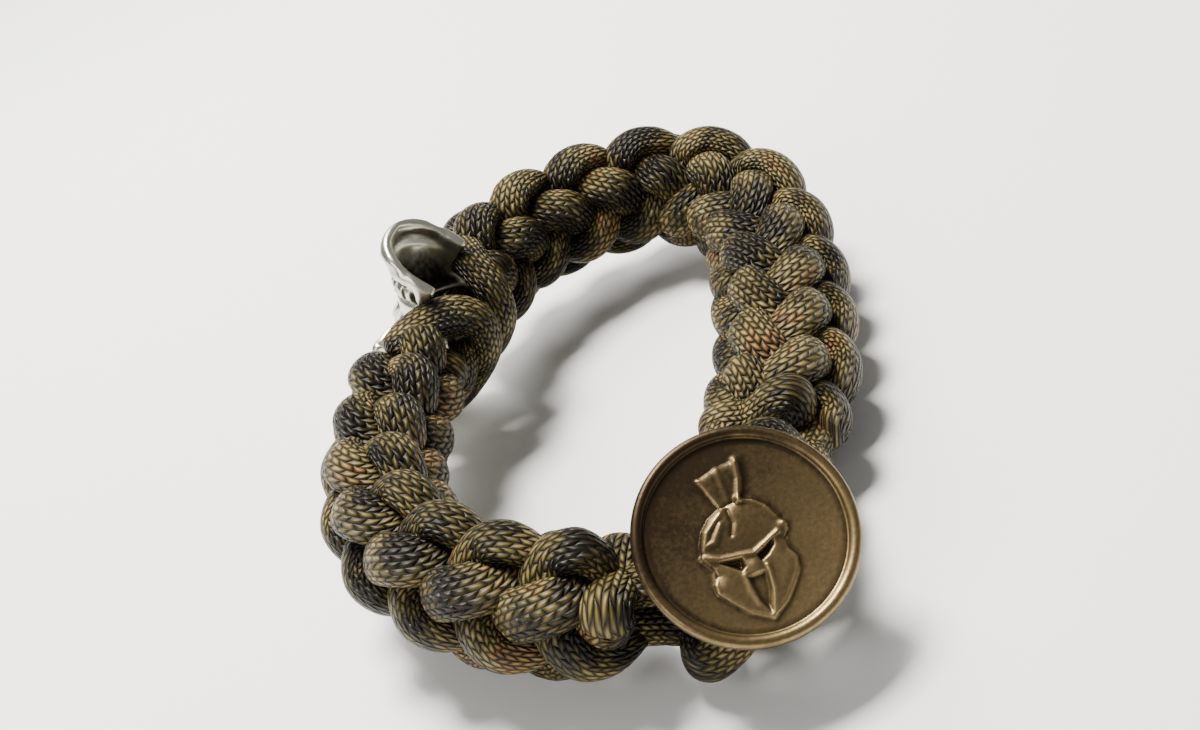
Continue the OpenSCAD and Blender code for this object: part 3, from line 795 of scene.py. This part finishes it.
def button_plate(ang):
    """Vertices, faces and painted shade of the plate with its figure and rim."""
    r, z = button_profile()
    ring = np.arange(len(r))[:, None]
    face = ring < FACE_RINGS
    x, y = r[:, None] * np.cos(ang), r[:, None] * np.sin(ang)
    h = relief(x, y) * face * (1 - step(np.hypot(x, y), *FACE_EDGE))
    verts = np.stack([x, y, np.repeat(z[:, None], len(ang), 1) + h], -1).reshape(-1, 3)
    soft = h.copy()
    for _ in range(30):
        soft[1:-1] = (soft[:-2] + soft[2:] + np.roll(soft, 1, 1)[1:-1] + np.roll(soft, -1, 1)[1:-1]) / 4
    # Painted shade where the face meets the rim and in the figure's hollows, a little painted light on its
    # ridges
    deep = 0.30 * step(np.hypot(x, y), 7.7, 8.2) * face + 3.0 * np.clip(soft - h, -0.12, 0.15) * face
    # Painted shade under the rim and on the back
    deep = deep + 0.35 * (ring > FACE_RINGS + 16)
    return verts, grid_faces(len(r), len(ang)), np.clip(deep, -0.3, 1).ravel()


def button_post(ang):
    """The post under the plate, wider where it meets it."""
    x, y = POST_RADIUS * np.cos(ang), POST_RADIUS * np.sin(ang)
    post = np.stack([np.stack([x, y, np.full(len(ang), q)], -1)
                     for q in np.linspace(-SHANK_DROP + 2.9, -0.55, POST_RINGS)])
    post[-1, :, :2] *= 1.5
    post[-2, :, :2] *= 1.15
    return post.reshape(-1, 3), grid_faces(POST_RINGS, len(ang))


def button_eye():
    """The wire eye round the cord."""
    eye_radius = CORD_D / 2 + 0.25 + WIRE_RADIUS
    p, q = np.meshgrid(np.linspace(0, 2 * np.pi, WIRE_STEPS, endpoint=False),
                       np.linspace(0, 2 * np.pi, WIRE_SIDES, endpoint=False), indexing="ij")
    out = eye_radius + WIRE_RADIUS * np.cos(q)
    verts = np.stack([WIRE_RADIUS * np.sin(q), out * np.cos(p), -SHANK_DROP + out * np.sin(p)], -1)
    i, j = np.meshgrid(np.arange(WIRE_STEPS), np.arange(WIRE_SIDES), indexing="ij")
    here, there = i * WIRE_SIDES, (i + 1) % WIRE_STEPS * WIRE_SIDES
    after = (j + 1) % WIRE_SIDES
    faces = np.stack([here + j, here + after, there + after, there + j], -1)
    return verts.reshape(-1, 3), faces.reshape(-1, 4)


def button():
    ang = np.linspace(0, 2 * np.pi, BUTTON_SIDES, endpoint=False)
    plate, plate_faces, deep = button_plate(ang)
    post, post_faces = button_post(ang[::POST_SIDES_EVERY])
    eye, eye_faces = button_eye()
    v = np.vstack([plate, post, eye])
    placed = CENTRE + v[:, :1] * RIGHT + v[:, 1:2] * UP + v[:, 2:] * OUT
    obj = make_mesh("button_pressed", resting(placed), np.vstack([
        plate_faces, post_faces + len(plate), eye_faces + len(plate) + len(post)]))
    # The post and the wire eye get painted shade as well
    point_value(obj, "deep", np.concatenate([deep, np.full(len(post) + len(eye), 0.3)]))
    # Painted shade falls toward the face's upper left, painted light toward its lower right
    painted_shade_way = REST @ (UP * 0.75 - RIGHT * 0.66)
    middle = resting(CENTRE) @ painted_shade_way
    brass = button_metal("antique_brass_painted_light", float(middle), tuple(painted_shade_way))
    dress(obj, brass, "button")


button()


# Stage, light and camera
def area(name, place, target, size, power, colour):
    """A square, soft light that faces its target."""
    light = bpy.data.lights.new(name, "AREA")
    light.size = size
    light.energy = power
    light.color = colour
    obj = bpy.data.objects.new(name, light)
    obj.location = place
    obj.rotation_mode = "QUATERNION"
    obj.rotation_quaternion = (Vector(target) - Vector(place)).to_track_quat("-Z", "Y")
    bpy.context.scene.collection.objects.link(obj)


FLOOR_HALF, FLOOR_Z = 3.0, -0.0001
floor = make_mesh("floor", [[x * FLOOR_HALF, y * FLOOR_HALF, FLOOR_Z]
                            for x, y in ((-1, -1), (1, -1), (1, 1), (-1, 1))], [[0, 1, 2, 3]])
floor.data.materials.append(plain("pale_floor", (0.86, 0.86, 0.85), 0.7))

AIMED_AT = (0, 0, 0.01)
area("key", (-0.12, 0.10, 0.45), AIMED_AT, 0.16, 7.6, (1.0, 0.97, 0.90))
area("back", (-0.22, 0.25, 0.32), AIMED_AT, 0.22, 2.2, (1.0, 0.99, 0.96))
area("front", (-0.22, -0.40, 0.26), AIMED_AT, 0.30, 1.4, (1.0, 0.98, 0.95))
world = bpy.data.worlds.new("soft_room")
bpy.context.scene.world = world
world.use_nodes = True
background = world.node_tree.nodes["Background"]
background.inputs["Color"].default_value = (1.0, 0.985, 0.95, 1)
background.inputs["Strength"].default_value = 0.30

camera = bpy.data.cameras.new("view")
camera.sensor_fit = "HORIZONTAL"
camera.sensor_width = 36
camera.lens = 47.7
camera.clip_start = 0.005
cam = bpy.data.objects.new("view", camera)
bpy.context.scene.collection.objects.link(cam)
bpy.context.scene.camera = cam
# The camera is set in the ring's own plane, in millimetres, and leans with it
EYE_POINT, AIM = np.array([46.96, -128.0, 103.5]), np.array([0.0, 0.0, 7.0])
forward = AIM - EYE_POINT
forward /= np.linalg.norm(forward)
# The photo's horizontal stays level in the picture
across = np.array([1.0, 0, 0]) - forward[0] * forward
across /= np.linalg.norm(across)
upward = np.cross(across, forward)
turned = np.stack([REST @ across, REST @ upward, -(REST @ forward)], 1)
pose = np.eye(4)
pose[:3, :3], pose[:3, 3] = turned, resting(EYE_POINT)
cam.matrix_world = Matrix(pose.tolist())
